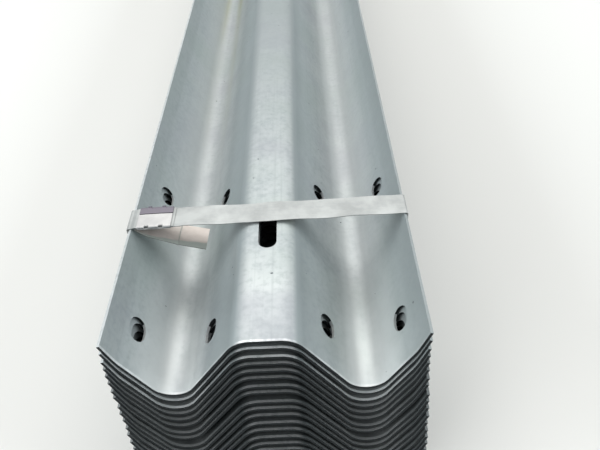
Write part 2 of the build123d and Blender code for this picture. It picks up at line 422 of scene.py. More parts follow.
@dataclass(frozen=True)
class GalvanisedSheet:
    """Hot-dip galvanised steel sheet, weathered for a few weeks.

    Molten zinc freezes into a satin skin with faint clouds, fine lines along the rolling
    direction and low ripples across it. Water that stood in a valley leaves a yellow-green film.
    Its skin is duller on some slopes than on others. Painted highlight makes it paler beside the valleys and
    at the near end, and painted shade darkens the upper slopes and the crest away from the near end.
    Between nested rails, painted shade darkens the zinc to near black: the mesh brings that share.
    """

    name: str = "hot_dip_galvanised_sheet"
    pale: str = "#B7BDBE"
    middle: str = "#A2AAAC"
    deep: str = "#899294"
    green_cast: str = "#98A6A1"
    violet_cast: str = "#A1A3AA"
    film: str = "#A2A583"
    stain: str = "#565D5E"
    # the colour of the painted shade between nested rails
    nested_shade_colour: str = "#1B1F20"
    # the colour of the painted highlight
    painted_highlight: str = "#CCD2D3"
    shade_end_from: Pair = (2.125, 2.14)  # metres from the middle, where the painted shade close to the ends begins
    metal_shares: Shares = (  # the rest is the dull skin that zinc grows in the open air
        (-150, 0.4), (-112, 0.36), (-97, 0.48), (-80, 0.46), (-60, 0.54), (-20, 0.44),
        (20, 0.44), (60, 0.38), (80, 0.34), (97, 0.5), (112, 0.28), (150, 0.32),
    )
    slope_shade_shares: Shares = (  # of painted shade, and a painted dark reflection beside the crest, on the upper slopes and the lips
        (-150, 0.5), (-118, 0.0), (-74, 0.1), (-60, 0.7), (-44, 0.8), (-32, 1.0), (-24, 0.0),
        (24, 0.0), (29, 1.0), (37, 0.7), (60, 0.3), (75, 0.0), (118, 0.0), (135, 0.7), (150, 0.9),
    )
    highlight_shares: Shares = (  # of painted highlight, paler beside the valleys where the reflections fall dark
        (-150, 0.0), (-138, 0.0), (-122, 0.8), (-113, 1.0), (-97, 0.15), (-82, 0.8), (-64, 0.0),
        (64, 0.0), (82, 0.8), (97, 0.35), (113, 1.0), (132, 0.1), (150, 0.0),
    )
    end_from_y: Pair = (-2.03, -2.12)  # metres, where the painted highlight at the near end begins
    end_metal: float = 0.75
    crest_from_x: Pair = (0.044, 0.03)  # metres, where the crest begins and is full
    far_shade_from_y: Pair = (-1.98, -1.42)  # metres: painted shade turns the crest greyer away from the near end
    far_shade_share: float = 0.75
    cloud_mm: float = 60.0
    mottle_mm: float = 6.5
    patch_mm: float = 22.0
    tint_mm: float = 120.0
    streak_mm: float = 3.5
    streak_length_mm: float = 300.0
    ripple_mm: float = 9.0
    ripple_width_mm: float = 16.0
    grain_mm: float = 1.1  # coarser than real zinc grain, so that it shows
    stain_mm: float = 26.0
    film_x_mm: float = -97.0  # the bottom of the left valley
    film_off_mm: float = 14.0  # the film lies beside it, on both sides
    film_width_mm: float = 9.0
    film_stretch: float = 0.12  # how wide a patch of it is, as a part of its length
    film_from_y: Pair = (-1.75, -1.2)  # metres, where it begins and is full
    roughness_low: float = 0.38
    roughness_high: float = 0.52

    def make(self) -> Material:
        """Build the material on Object coordinates.

        Returns:
            The finished material.
        """
        finish = Finish(self.name)
        cloud, mottle = finish.pattern(self.cloud_mm, 5.0), finish.pattern(self.mottle_mm, 3.0)
        patch, tint = finish.pattern(self.patch_mm, 3.0), finish.pattern(self.tint_mm, 2.0)
        grain = finish.pattern(self.grain_mm, 2.0)
        streak = finish.pattern(self.streak_mm, 3.0, (1.0, self.streak_mm / self.streak_length_mm, 1.0))
        ripple = finish.pattern(self.ripple_mm, 2.0, (self.ripple_mm / self.ripple_width_mm, 1.0, 1.0))
        place = add_node(finish.tree, "ShaderNodeSeparateXYZ", {"Vector": finish.place}).outputs
        x, y = place["X"], place["Y"]
        metal = self.across(finish, x, self.metal_shares)
        slope_shade = self.across(finish, x, self.slope_shade_shares)
        painted_highlight = self.across(finish, x, self.highlight_shares)
        from_crest, from_middle = (
            finish.add("ShaderNodeMath", 0, {0: way}, operation="ABSOLUTE") for way in (x, y)
        )
        crest = finish.share(from_crest, self.crest_from_x)
        far_shade = finish.share(y, self.far_shade_from_y, (0.0, self.far_shade_share), crest)
        # painted highlight: paler at the near end, in patches
        near_end_highlight = finish.share(y, self.end_from_y, WHOLE, painted_highlight)
        near_end_highlight = finish.share(patch, (0.3, 0.6), (0.5, 1.0), near_end_highlight)
        coats = (  # what each follows, its limits, the most that shows, and its colour
            (cloud, (0.36, 0.64), 0.8, self.pale),
            (patch, (0.5, 0.7), 0.45, self.pale),
            (mottle, (0.48, 0.66), 0.5, self.pale),
            (mottle, (0.5, 0.32), 0.4, self.deep),
            (streak, (0.54, 0.8), 0.35, self.deep),
            (tint, (0.48, 0.64), 0.45, self.green_cast),
            (tint, (0.46, 0.34), 0.4, self.violet_cast),
            # painted shade on the upper slopes and the lips
            (slope_shade, WHOLE, 1.0, self.deep),
            # painted shade on the crest away from the near end
            (far_shade, WHOLE, 1.0, self.deep),
            # painted highlight beside the valleys and at the near end
            (painted_highlight, WHOLE, 0.75, self.painted_highlight),
            (near_end_highlight, WHOLE, 1.0, self.painted_highlight),
            (self.film_share(finish, x, y), WHOLE, 1.0, self.film),
            (self.stain_share(finish), WHOLE, 1.0, self.stain),
            # painted shade between the nested rails
            (self.nested_shade_share(finish, from_middle), WHOLE, 1.0, self.nested_shade_colour),
        )
        colour: str | NodeSocket = self.middle
        for coat in coats:
            colour = finish.coat(colour, *coat)
        rough = finish.share(cloud, (0.3, 0.7), (self.roughness_high, self.roughness_low))
        metal = finish.share(near_end_highlight, WHOLE, (1.0, self.end_metal), metal)
        finish.relief((grain, 0.04, 0.25), (ripple, 0.16, 0.6), (streak, 0.05, 0.25))
        finish.dress(Base_Color=colour, Metallic=metal, Roughness=rough)
        return finish.material

    def across(self, finish: Finish, x_place: NodeSocket, shares: Shares) -> NodeSocket:
        """Return a share that changes across the rail.

        Args:
            finish: The material under construction.
            x_place: The place across the rail, in metres.
            shares: Places in millimetres with the share at each.

        Returns:
            The share's socket.
        """
        first, last = shares[0][0], shares[-1][0]
        way = finish.share(x_place, (first * MM, last * MM))
        ramp = add_node(finish.tree, "ShaderNodeValToRGB", {"Fac": way})
        for x, _ in shares[1:-1]:
            ramp.color_ramp.elements.new((x - first) / (last - first))
        for stop, (_, share) in zip(ramp.color_ramp.elements, shares):
            stop.color = (share, share, share, 1.0)
        return ramp.outputs["Color"]

    def nested_shade_share(self, finish: Finish, from_middle: NodeSocket) -> NodeSocket:
        """Return how much painted shade between the nested rails shows: one share inside, another close to
        the ends.

        Args:
            finish: The material under construction.
            from_middle: The way from the rails' middle, in metres.

        Returns:
            The share's socket.
        """
        inside, outside = (
            finish.add("ShaderNodeAttribute", "Fac", attribute_name=name) for name in ("cover", "end_cover")
        )
        inputs = {0: finish.share(from_middle, self.shade_end_from), 2: inside, 3: outside}
        return finish.add("ShaderNodeMix", 0, inputs, data_type="FLOAT")

    def film_share(self, finish: Finish, x: NodeSocket, y: NodeSocket) -> NodeSocket:
        """Return how much of the film shows: long patches beside the left valley's bottom.

        Args:
            finish: The material under construction.
            x: The place across the rail, in metres.
            y: The place along it.

        Returns:
            The share's socket.
        """
        offset = finish.add("ShaderNodeMath", 0, {0: x, 1: self.film_x_mm * MM}, operation="SUBTRACT")
        away = finish.add("ShaderNodeMath", 0, {0: offset}, operation="ABSOLUTE")
        middle, half = self.film_off_mm * MM, self.film_width_mm * MM
        patches = finish.pattern(self.cloud_mm, 2.0, (1.0, self.film_stretch, 1.0))
        band = finish.share(away, (middle - half, middle))
        band = finish.share(away, (middle, middle + half), (1.0, 0.0), band)
        band = finish.share(patches, (0.4, 0.6), (0.0, 0.6), band)
        return finish.share(y, self.film_from_y, WHOLE, band)

    def stain_share(self, finish: Finish) -> NodeSocket:
        """Return how much of the dark spots shows: a few small ones, far apart.

        Args:
            finish: The material under construction.

        Returns:
            The share's socket.
        """
        inputs = {"Vector": finish.place, "Scale": 1 / (self.stain_mm * MM)}
        cells = add_node(finish.tree, "ShaderNodeTexVoronoi", inputs).outputs
        rare = finish.share(cells["Color"], (0.9, 0.91))
        return finish.share(cells["Distance"], (0.06, 0.035), (0.0, 0.7), rare)


@dataclass(frozen=True)
class ShearedEdge:
    """The sheared ends of the sheet, dipped with it.

    Zinc lies thin and dull over the torn grain of a shear cut, and painted shade darkens it further: the
    ends, the slot walls that face down or sideways and the lower rounds at the ends look like slate, as if in
    shadow.
    """

    dark: str = "#14181A"
    light: str = "#272C2F"
    tear_mm: float = 0.9
    tear_length_mm: float = 4.0

    def make(self) -> Material:
        """Build the material on Object coordinates.

        Returns:
            The finished material.
        """
        finish = Finish("sheared_sheet_edge")
        tear = finish.pattern(self.tear_mm, 3.0, (self.tear_mm / self.tear_length_mm, 1.0, 1.0))
        colour = finish.coat(self.dark, tear, (0.3, 0.7), 1.0, self.light)
        finish.relief((tear, 0.1, 0.4))
        finish.dress(Base_Color=colour, Metallic=0.3, Roughness=0.62, Specular_IOR_Level=0.15)
        return finish.material


@dataclass(frozen=True)
class ZincDross:
    """Dross caught in the zinc: small dull lumps that stand dark on the bright skin."""

    dark: str = "#464C4E"
    light: str = "#8D9496"
    size_mm: float = 0.7

    def make(self) -> Material:
        """Build the material on Object coordinates.

        Returns:
            The finished material.
        """
        finish = Finish("zinc_dross")
        grain = finish.pattern(self.size_mm, 2.0)
        colour = finish.coat(self.dark, grain, (0.4, 0.6), 1.0, self.light)
        finish.relief((grain, 0.1, 0.5))
        finish.dress(Base_Color=colour, Metallic=0.8, Roughness=0.5)
        return finish.material


@dataclass(frozen=True)
class RolledStrip:
    """Cold-rolled steel strip, one face of a band.

    The rolls leave fine lines along the strip, and handling leaves rubbed patches. The darkened share, which
    comes with the mesh, is painted shade on a band's tail, and on a seal it makes the far flange darker.
    """

    name: str
    light: str
    dark: str
    # the colour of the darkened share
    dull: str
    roughness: float = 0.46
    metallic: float = 0.85
    roughness_span: Pair = (-0.06, 0.08)  # from the smoothest line to the roughest
    line_mm: float = 0.8
    line_length_mm: float = 20.0
    patch_mm: float = 26.0

    def make(self) -> Material:
        """Build the material on Object coordinates, with the mesh's own darkened share.

        Returns:
            The finished material.
        """
        finish = Finish(self.name)
        along = self.line_mm / self.line_length_mm
        lines = finish.pattern(self.line_mm, 2.0, (along, 1.0, along))
        patch = finish.pattern(self.patch_mm, 4.0)
        dull = finish.add("ShaderNodeAttribute", "Fac", attribute_name="dull")
        colour = finish.coat(self.light, patch, (0.38, 0.64), 1.0, self.dark)
        colour = finish.coat(colour, dull, WHOLE, 1.0, self.dull)
        smooth, rough = (self.roughness + shift for shift in self.roughness_span)
        finish.relief((lines, 0.03, 0.3), (patch, 0.25, 0.35))
        finish.dress(
            Base_Color=colour,
            Roughness=finish.share(lines, (0.3, 0.7), (smooth, rough)),
            Metallic=self.metallic,
        )
        return finish.material


@dataclass
class RailSection:
    """The rolled section of one rail, in millimetres, with its crest at X = 0 and Z = 0."""

    width: float = 310.0
    height: float = 85.0
    crest_drop: float = 2.0  # of the crest below the lips' tips
    sheet: float = 3.0
    crest_flat: float = 28.0
    bend_inside: float = 24.0
    lip_bend_inside: float = 60.0
    lip_width: float = 28.0
    inner_slope: float = 55.0
    lip_slope: float = 70.0
    bend_step: float = 5.5  # degrees between two lines of a bend
    right: list[Vector] = field(init=False)  # corners of the right half, from the crest out
    corners: list[Vector] = field(init=False)
    depth: float = field(init=False)
    outer_slope: float = field(init=False)

    def __post_init__(self) -> None:
        """Work out the sharp corners of the sheet's middle line."""
        half = self.sheet / 2
        bend = self.bend_inside + half
        self.depth = self.height - self.crest_drop - self.sheet
        inner, lip = radians(self.inner_slope), radians(self.lip_slope)
        crest = Vector((self.crest_flat / 2 + bend * tan(inner / 2), 0))
        run = (self.depth - bend * (1 - cos(inner))) / tan(inner)
        centre = Vector((crest.x + run + bend * sin(inner), bend - self.depth))
        tip = Vector((self.width / 2 - half * sin(lip), half + self.crest_drop - half * cos(lip)))
        lip_corner = tip - heading(self.lip_slope) * self.lip_width
        reach = lip_corner - centre
        self.outer_slope = degrees(atan2(reach.y, reach.x) + asin(bend / reach.length))
        valley = crossing(crest, heading(-self.inner_slope), lip_corner, heading(self.outer_slope))
        self.right = [crest, valley, lip_corner, tip]
        self.corners = [Vector((-p.x, p.y)) for p in reversed(self.right)] + self.right

    def faces(self) -> tuple[list[Vector], list[Vector]]:
        """Return the upper and the lower face of the sheet, point by point.

        Returns:
            The points of each face, from the left tip to the right one.
        """
        half = self.sheet / 2
        bend, lip_bend = self.bend_inside + half, self.lip_bend_inside + half
        line = round_line(self.corners, [lip_bend, *[bend] * 4, lip_bend], self.bend_step)
        return [p + n * half for p, n in line], [p - n * half for p, n in line]


def new_tree(name: str, inputs: dict[str, str]) -> tuple[NodeTree, NodeOutputs]:
    """Start a Geometry Nodes tree.

    Args:
        name: The tree's name.
        inputs: The type of each input, by its name.

    Returns:
        The tree and its input sockets.
    """
    tree = bpy.data.node_groups.new(name, "GeometryNodeTree")
    for title, kind in inputs.items():
        tree.interface.new_socket(title, in_out="INPUT", socket_type=f"NodeSocket{kind}")
    tree.interface.new_socket("Sheet", in_out="OUTPUT", socket_type="NodeSocketGeometry")
    return tree, add_node(tree, "NodeGroupInput").outputs


def end_tree(tree: NodeTree, made: Node, finish: NodeSocket) -> NodeTree:
    """Give what a tree has made its finish, and lead it out.

    Args:
        tree: The tree.
        made: The node that makes its last shape.
        finish: The material's socket.

    Returns:
        The same tree.
    """
    dressed = add_node(tree, "GeometryNodeSetMaterial", {"Geometry": made, "Material": finish})
    add_node(tree, "NodeGroupOutput", {"Sheet": dressed})
    return tree


def apply_tree(work: Object, tree: NodeTree, **values: object) -> None:
    """Put a tree on a working object, with its inputs set by their sockets' identifiers.

    Args:
        work: The working object.
        tree: The tree.
        **values: The inputs' values, by their names with underscores for spaces.
    """
    modifier = work.modifiers.new(tree.name, "NODES")
    modifier.node_group = tree
    for item in tree.interface.items_tree:
        name = item.name.replace(" ", "_")
        if item.in_out == "INPUT" and name in values:
            modifier[item.identifier] = values[name]


@dataclass
class SlotPunch:
    """A Geometry Nodes tree that punches round-ended slots through a sheet."""

    sides: int = 36
    depth_mm: float = 16.0

    def tree(self) -> NodeTree:
        """Build the tree. Its inputs are the blank, the places, the slot's two sizes and a finish.

        Returns:
            The tree.
        """
        inputs = {"Blank": "Geometry", "Places": "Object"}
        inputs |= {"Slot Length": "Float", "Slot Width": "Float", "Finish": "Material"}
        tree, given = new_tree("punch_slots", inputs)
        length, width = given["Slot Length"], given["Slot Width"]
        half_width = add_node(tree, "ShaderNodeMath", {0: width, 1: 0.5}, operation="MULTIPLY")
        longer = add_node(tree, "ShaderNodeMath", {0: length, 1: width}, operation="SUBTRACT")
        inputs = {"Vertices": self.sides, "Depth": self.depth_mm * MM, "Radius": half_width}
        end = add_node(tree, "GeometryNodeMeshCylinder", inputs)
        ends = add_node(tree, "GeometryNodeJoinGeometry")
        for share in (-0.5, 0.5):
            reach = add_node(tree, "ShaderNodeMath", {0: longer, 1: share}, operation="MULTIPLY")
            shift = add_node(tree, "ShaderNodeCombineXYZ", {"Y": reach})
            moved = add_node(tree, "GeometryNodeTransform", {"Geometry": end, "Translation": shift})
            give(tree, ends.inputs["Geometry"], moved)
        slot = add_node(tree, "GeometryNodeConvexHull", {"Geometry": ends})
        places = add_node(tree, "GeometryNodeObjectInfo", {"Object": given["Places"]}).outputs["Geometry"]
        lean = add_node(tree, "GeometryNodeInputNamedAttribute", {"Name": "lean"}, data_type="FLOAT")
        turn = add_node(tree, "ShaderNodeCombineXYZ", {"Y": lean.outputs["Attribute"]})
        inputs = {"Points": places, "Instance": slot, "Rotation": turn}
        cutters = add_node(tree, "GeometryNodeInstanceOnPoints", inputs)
        real = add_node(tree, "GeometryNodeRealizeInstances", {"Geometry": cutters})
        inputs = {"Mesh 1": given["Blank"], "Mesh 2": real}
        cut = add_node(tree, "GeometryNodeMeshBoolean", inputs, operation="DIFFERENCE", solver="EXACT")
        return end_tree(tree, cut, given["Finish"])


@dataclass
class DrossScatter:
    """A Geometry Nodes tree that leaves small flat lumps of dross on a sheet."""

    per_square_metre: float = 60.0
    smallest: Triple = (0.5, 0.6, 0.16)
    largest: Triple = (1.3, 2.0, 0.45)
    seed: int = 11

    def tree(self) -> NodeTree:
        """Build the tree. Its inputs are the sheet, how thick the lumps lie, a seed and a finish.

        Returns:
            The tree.
        """
        inputs = {"Bare Sheet": "Geometry", "Density": "Float", "Seed": "Int", "Finish": "Material"}
        tree, given = new_tree("scatter_dross", inputs)
        inputs = {"Mesh": given["Bare Sheet"], "Density": given["Density"], "Seed": given["Seed"]}
        points = add_node(tree, "GeometryNodeDistributePointsOnFaces", inputs).outputs
        lump = add_node(tree, "GeometryNodeMeshIcoSphere", {"Radius": 1.0, "Subdivisions": 1})
        smallest, largest = ([side * MM for side in size] for size in (self.smallest, self.largest))
        inputs = {0: smallest, 1: largest, "Seed": given["Seed"]}
        size = add_node(tree, "FunctionNodeRandomValue", inputs, data_type="FLOAT_VECTOR")
        inputs = {"Points": points["Points"], "Instance": lump, "Rotation": points["Rotation"]}
        lumps = add_node(tree, "GeometryNodeInstanceOnPoints", inputs | {"Scale": size})
        real = add_node(tree, "GeometryNodeRealizeInstances", {"Geometry": lumps})
        smooth = add_node(tree, "GeometryNodeSetShadeSmooth", {"Geometry": real})
        return end_tree(tree, smooth, given["Finish"])


@dataclass
class RailBundle:
    """The nested rails: one punched sheet, laid at each rail's own place."""

    sheet_finish: Material
    edge_finish: Material
    dross_finish: Material
    rim_finish: Material
    section: RailSection = field(default_factory=RailSection)
    post_slot: Pair = (72.0, 20.0)
    splice_slot: Pair = (28.0, 23.0)
    post_from_end: float = 160.0
    splice_half_spacing: float = 108.0
    inner_depth: float = 45.5  # of the splice slots on the inner slopes, below the crest
    outer_depth: float = 38.0
    rolled_edge: float = 1.0  # the round that the zinc leaves on a cut edge
    highlight_reach: float = 2.6  # how far the painted highlight reaches onto the upper face from a rail's end
    sharp: float = 50.0  # degrees, from which an edge is rolled
    edge_normal: float = 0.98  # how squarely a cut face looks out
    wall_normal: float = 0.1  # how little a slot's wall looks along the slot
    bright_wall: float = 0.55  # a slot's wall that faces up as much as this gets the painted highlight, a lower one painted shade
    sheet_cover: tuple[float, ...] = (0.0, 0.0, 0.05, 0.6, 0.75)  # painted shade between nested rails, from the top rail down
    end_cover: tuple[float, ...] = (0.0, 0.65, 0.7, 0.8, 0.85)  # the same, close to the rails' ends
    rim_cover: tuple[float, ...] = (0.0, 0.0, 0.0, 0.6, 0.68)  # the same, on the rims

    def names(self) -> list[str]:
        """Return the rails' node names, from the bottom one up."""
        return sorted(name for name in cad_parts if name.startswith("rail_"))

    def crest(self, node: str) -> Vector:
        """Return the middle of a rail's length, on its crest's middle line.

        Args:
            node: The rail's node.

        Returns:
            The place, in metres.
        """
        low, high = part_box(node)
        drop = (self.section.crest_drop + self.section.sheet / 2) * MM
        return Vector(((low.x + high.x) / 2, (low.y + high.y) / 2, high.z - drop))

    def length(self) -> float:
        """Return a rail's length in metres."""
        low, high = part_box(self.names()[-1])
        return high.y - low.y

    def rows(self) -> list[float]:
        """Return the places along a rail that have slots, in metres from its middle.

        Returns:
            The seven places, from the near end on.
        """
        end_y = self.length() / 2 - self.post_from_end * MM
        ahead = [end_y + shift * self.splice_half_spacing * MM for shift in (-1, 0, 1)]
        return [-y for y in reversed(ahead)] + [0.0] + ahead

    def blank(self) -> Mesh:
        """Return one rail with no slots, centred on its crest.

        An edge runs across it at each row of slots and where each end's painted highlight starts, so that no
        face is too long.

        Returns:
            The mesh.
        """
        upper, lower = self.section.faces()
        half = self.length() / 2
        highlight_start = half - self.highlight_reach * MM
        work = bmesh.new()
        tops, bottoms = [], []
        for y in (-half, -highlight_start, *self.rows(), highlight_start, half):
            for points, rings in ((upper, tops), (lower, bottoms)):
                rings.append([work.verts.new((p.x * MM, y, p.y * MM)) for p in points])
        for first, second in (*zip(tops, tops[1:]), *zip(bottoms, bottoms[1:])):
            bridge(work, first, second)
        bridge(work, bottoms[0], tops[0])
        bridge(work, tops[-1], bottoms[-1])
        for near, far in zip(zip(tops, bottoms), zip(tops[1:], bottoms[1:])):
            for at in (0, -1):
                work.faces.new((near[0][at], far[0][at], far[1][at], near[1][at]))
        return plain_mesh(work, "rail_blank")

    def slot_spots(self, kind: SlotKind) -> list[tuple[Vector, float]]:
        """Return the middle and the lean of each slot of a kind.

        Args:
            kind: The kind of slot.

        Returns:
            Each slot's middle, in metres from the rail's own, and its lean in radians.
        """
        rows = self.rows()
        if kind is SlotKind.POST:
            return [(Vector((0, y, 0)), 0.0) for y in rows[1::2]]
        section, spots = self.section, []
        crest, valley = section.right[:2]
        inner_x = crest.x + self.inner_depth / tan(radians(section.inner_slope))
        rise = -self.outer_depth - valley.y
        outer_x = valley.x + rise / tan(radians(section.outer_slope))
        for y in rows[::2]:
            for side in (-1, 1):
                inner = Vector((side * inner_x * MM, y, -self.inner_depth * MM))
                outer = Vector((side * outer_x * MM, y, -self.outer_depth * MM))
                spots.append((inner, side * radians(section.inner_slope)))
                spots.append((outer, -side * radians(section.outer_slope)))
        return spots

    def slot_places(self, kind: SlotKind) -> Object:
        """Return an object with a point, and a lean, for each slot of a kind.

        Args:
            kind: The kind of slot.

        Returns:
            The object, for a tree to read.
        """
        spots = self.slot_spots(kind)
        mesh = bpy.data.meshes.new(f"{kind.value}_slots")
        mesh.from_pydata([spot for spot, _ in spots], [], [])
        lean = mesh.attributes.new("lean", "FLOAT", "POINT")
        lean.data.foreach_set("value", [turn for _, turn in spots])
        return new_object(f"{kind.value}_slot_places", mesh)

    def punched(self) -> Mesh:
        """Return one rail with all its slots and its rolled edges.

        Returns:
            The mesh, centred on its crest.
        """
        work = new_object("rail_work", self.blank())
        tree = SlotPunch().tree()
        helpers = []
        for kind, size in ((SlotKind.POST, self.post_slot), (SlotKind.SPLICE, self.splice_slot)):
            length, width = (side * MM for side in size)
            places = self.slot_places(kind)
            apply_tree(
                work, tree, Places=places, Slot_Length=length, Slot_Width=width, Finish=self.sheet_finish
            )
            helpers.append(places)
        cut = baked(work, *helpers)
        cut.materials.clear()
        for finish in (self.sheet_finish, self.edge_finish, self.dross_finish, self.rim_finish):
            cut.materials.append(finish)
        mesh = round_edges(cut, self.rolled_edge, self.sharp, rim=RailFace.RIM)
        self.sort_faces(mesh)
        return mesh

    def sort_faces(self, mesh: Mesh) -> None:
        """Mark the sheared faces and the bright rims of a punched rail.

        A slot's walls get the dark sheared finish as painted shade, or the pale rim finish as a painted
        highlight where they face up. The rail's ends are sheared, with a painted highlight along their upper
        edges and painted shade on their lower rounds, and the lips' edges get a painted highlight.

        Args:
            mesh: The punched rail.
        """
        half = self.length() / 2
        end, highlight_start = half - self.rolled_edge * MM, half - self.highlight_reach * MM
        lip = heading(self.section.lip_slope)
        tip = (self.section.width / 2 - self.section.sheet) * MM
        spots = [spot for kind in SlotKind for spot in self.slot_spots(kind)]
        axes = [(spot, Vector((sin(lean), 0, cos(lean)))) for spot, lean in spots]
        reach = (self.post_slot[0] / 2 + self.rolled_edge) * MM
        for face in mesh.polygons:
            middle, normal = face.center, face.normal
            for spot, axis in axes:
                if all((mesh.vertices[at].co - spot).length < reach for at in face.vertices):
                    # a slot's wall gets painted shade, or a painted highlight where it faces up
                    wall = abs(normal.dot(axis)) < self.wall_normal
                    skin = RailFace.SHEARED if normal.z < self.bright_wall else RailFace.RIM
                    face.material_index = skin if wall else RailFace.SHEET
            # painted highlight on the upper face along each end
            if abs(middle.y) > highlight_start and normal.z > 0:
                face.material_index = RailFace.RIM
            if abs(normal.y) > self.edge_normal and abs(middle.y) > end:
                face.material_index = RailFace.SHEARED
            # painted highlight on the lips' edges
            if abs(normal.x) * lip.x + normal.z * lip.y > self.edge_normal and abs(middle.x) > tip:
                face.material_index = RailFace.RIM
            # painted shade on the lower round of each end
            if face.material_index == RailFace.RIM and normal.z < 0 and abs(middle.y) > end:
                face.material_index = RailFace.SHEARED

    def dross(self, sheet: Mesh) -> Mesh:
        """Return the lumps that lie on one sheet.

        Args:
            sheet: The sheet.

        Returns:
            The lumps alone.
        """
        scatter = DrossScatter()
        work = new_object("dross_work", sheet)
        density, finish = scatter.per_square_metre, self.dross_finish
        apply_tree(work, scatter.tree(), Density=density, Seed=scatter.seed, Finish=finish)
        return baked(work)

    def sheet_with_dross(self) -> Mesh:
        """Return the punched sheet and its lumps as one mesh.

        Returns:
            The mesh, centred on its crest.
        """
        sheet = self.punched()
        work = bmesh.new()
        work.from_mesh(sheet)
        bare = len(work.faces)
        work.from_mesh(self.dross(sheet))
        work.faces.ensure_lookup_table()
        for face in work.faces[bare:]:
            face.material_index = RailFace.DROSS
        mesh = sheet.copy()
        work.to_mesh(mesh)
        work.free()
        return mesh

    def build(self) -> list[Object]:
        """Lay the sheet at each rail's place, with its share of painted shade.

        Returns:
            The rails, from the top one down.
        """
        sheet = self.sheet_with_dross()
        rails = []
        for depth, name in enumerate(reversed(self.names())):
            mesh = sheet.copy()
            # painted shade for a rail that lies under others
            level = min(depth, len(self.sheet_cover) - 1)
            for title, shades in (("cover", self.sheet_cover), ("end_cover", self.end_cover)):
                cover = mesh.attributes.new(title, "FLOAT", "FACE")
                for face, share in zip(mesh.polygons, cover.data):
                    on_rim = face.material_index == RailFace.RIM
                    share.value = (self.rim_cover if on_rim else shades)[level]
            mesh.transform(Matrix.Translation(self.crest(name)))
            rails.append(place_piece(new_object(f"{name}_sheet", mesh), name))
        return rails


@dataclass
class BandLine:
    """The line of a band's inner face, seen along the rails, in millimetres across and up.

    It starts at the band's upper end in the seal, runs round the bundle against the clock and
    ends with the tail, which is folded back beneath the seal and droops into the left valley.
    """

    section: RailSection
    crests: list[Vector]  # of the rails, from the top one down
    seal_low: Vector  # corners of the seal's box
    seal_high: Vector
    strip: float = 0.9
    clearance: float = 0.15
    layer_gap: float = 0.1
    corner_inside: float = 1.5
    lip_bend_inside: float = 10.0
    crease_inside: float = 4.0
    ramp_from_lip: float = 2.0
    ramp_length: float = 4.0
    ramp_round: float = 3.0
    end_past_seal: float = 3.0
    fold_past_seal: float = 2.4
    fold_inside: float = 0.7
    tail_legs: tuple[Pair, ...] = (  # length, and droop in degrees: the two short ones are a crease
        (16.0, 36.0), (33.8, 21.0), (1.3, 56.0), (1.3, -21.0), (31.0, 14.6),
    )
    tail_rounds: tuple[float, ...] = (8.0, 0.5, 0.5, 0.5)
    bend_step: float = 12.0  # degrees between two points of a bend
    step: float = 5.0  # the longest way between two points

    def flank(self, side: int) -> list[Vector]:
        """Return the line's corners up one side, from under the bundle to its top.

        Args:
            side: -1 for the left side, 1 for the right one.

        Returns:
            The four corners.
        """
        section, top, bottom = self.section, self.crests[0], self.crests[-1]
        out = section.sheet / 2 + self.clearance
        lean = (bottom.x - top.x) / (bottom.y - top.y)
        stray = max(side * (crest.x - top.x - lean * (crest.y - top.y)) for crest in self.crests)
        slope, lip = heading(section.outer_slope), heading(section.lip_slope)
        slope.x, lip.x = side * slope.x, side * lip.x
        lip_corner, tip = (corner.copy() for corner in section.right[2:])
        lip_corner.x, tip.x = side * lip_corner.x, side * tip.x
        under = Vector((bottom.x, bottom.y - section.depth - out))
        on_slope = bottom + lip_corner - left_of(slope) * side * out
        on_lip = bottom + tip - left_of(lip) * side * out
        reach = section.width / 2 + self.clearance + stray
        on_side = top + Vector((side * reach, 0))
        rise = Vector((lean, 1))
        return [
            crossing(under, Vector((1, 0)), on_slope, slope),
            crossing(on_slope, slope, on_lip, lip),
            crossing(on_lip, lip, on_side, rise),
            crossing(on_side, rise, Vector((0, self.top_height())), Vector((1, 0))),
        ]

    def top_height(self) -> float:
        """Return the height of the line over the bundle."""
        return self.crests[0].y + self.section.sheet / 2 + self.section.crest_drop + self.clearance

    def points(self) -> Line:
        """Return the whole line, with its bends round.

        Returns:
            The line, from the upper end in the seal to the tail's cut end.
        """
        top = self.top_height()
        upper = top + self.strip + self.layer_gap
        ramp = self.crests[0].x - self.section.width / 2 + self.ramp_from_lip
        fold = self.seal_low.x - self.fold_past_seal
        corners = [
            Vector((self.seal_high.x + self.end_past_seal, upper)),
            Vector((ramp + self.ramp_length, upper)),
            Vector((ramp, top)),
        ]
        corners += self.flank(-1)[::-1] + self.flank(1)
        corners += [Vector((fold, top)), Vector((fold, self.seal_low.z - self.clearance))]
        for leg, droop in self.tail_legs:
            corners.append(corners[-1] + heading(-droop) * leg)
        beside = self.section.sheet + self.clearance
        side = [self.corner_inside, self.crease_inside]
        side += [self.lip_bend_inside + beside, self.section.bend_inside + beside]
        radii = [self.ramp_round, self.ramp_round, *side, *side[::-1]]
        radii += [self.fold_inside, self.fold_inside, *self.tail_rounds]
        return divided(round_line(corners, radii, self.bend_step), self.step)


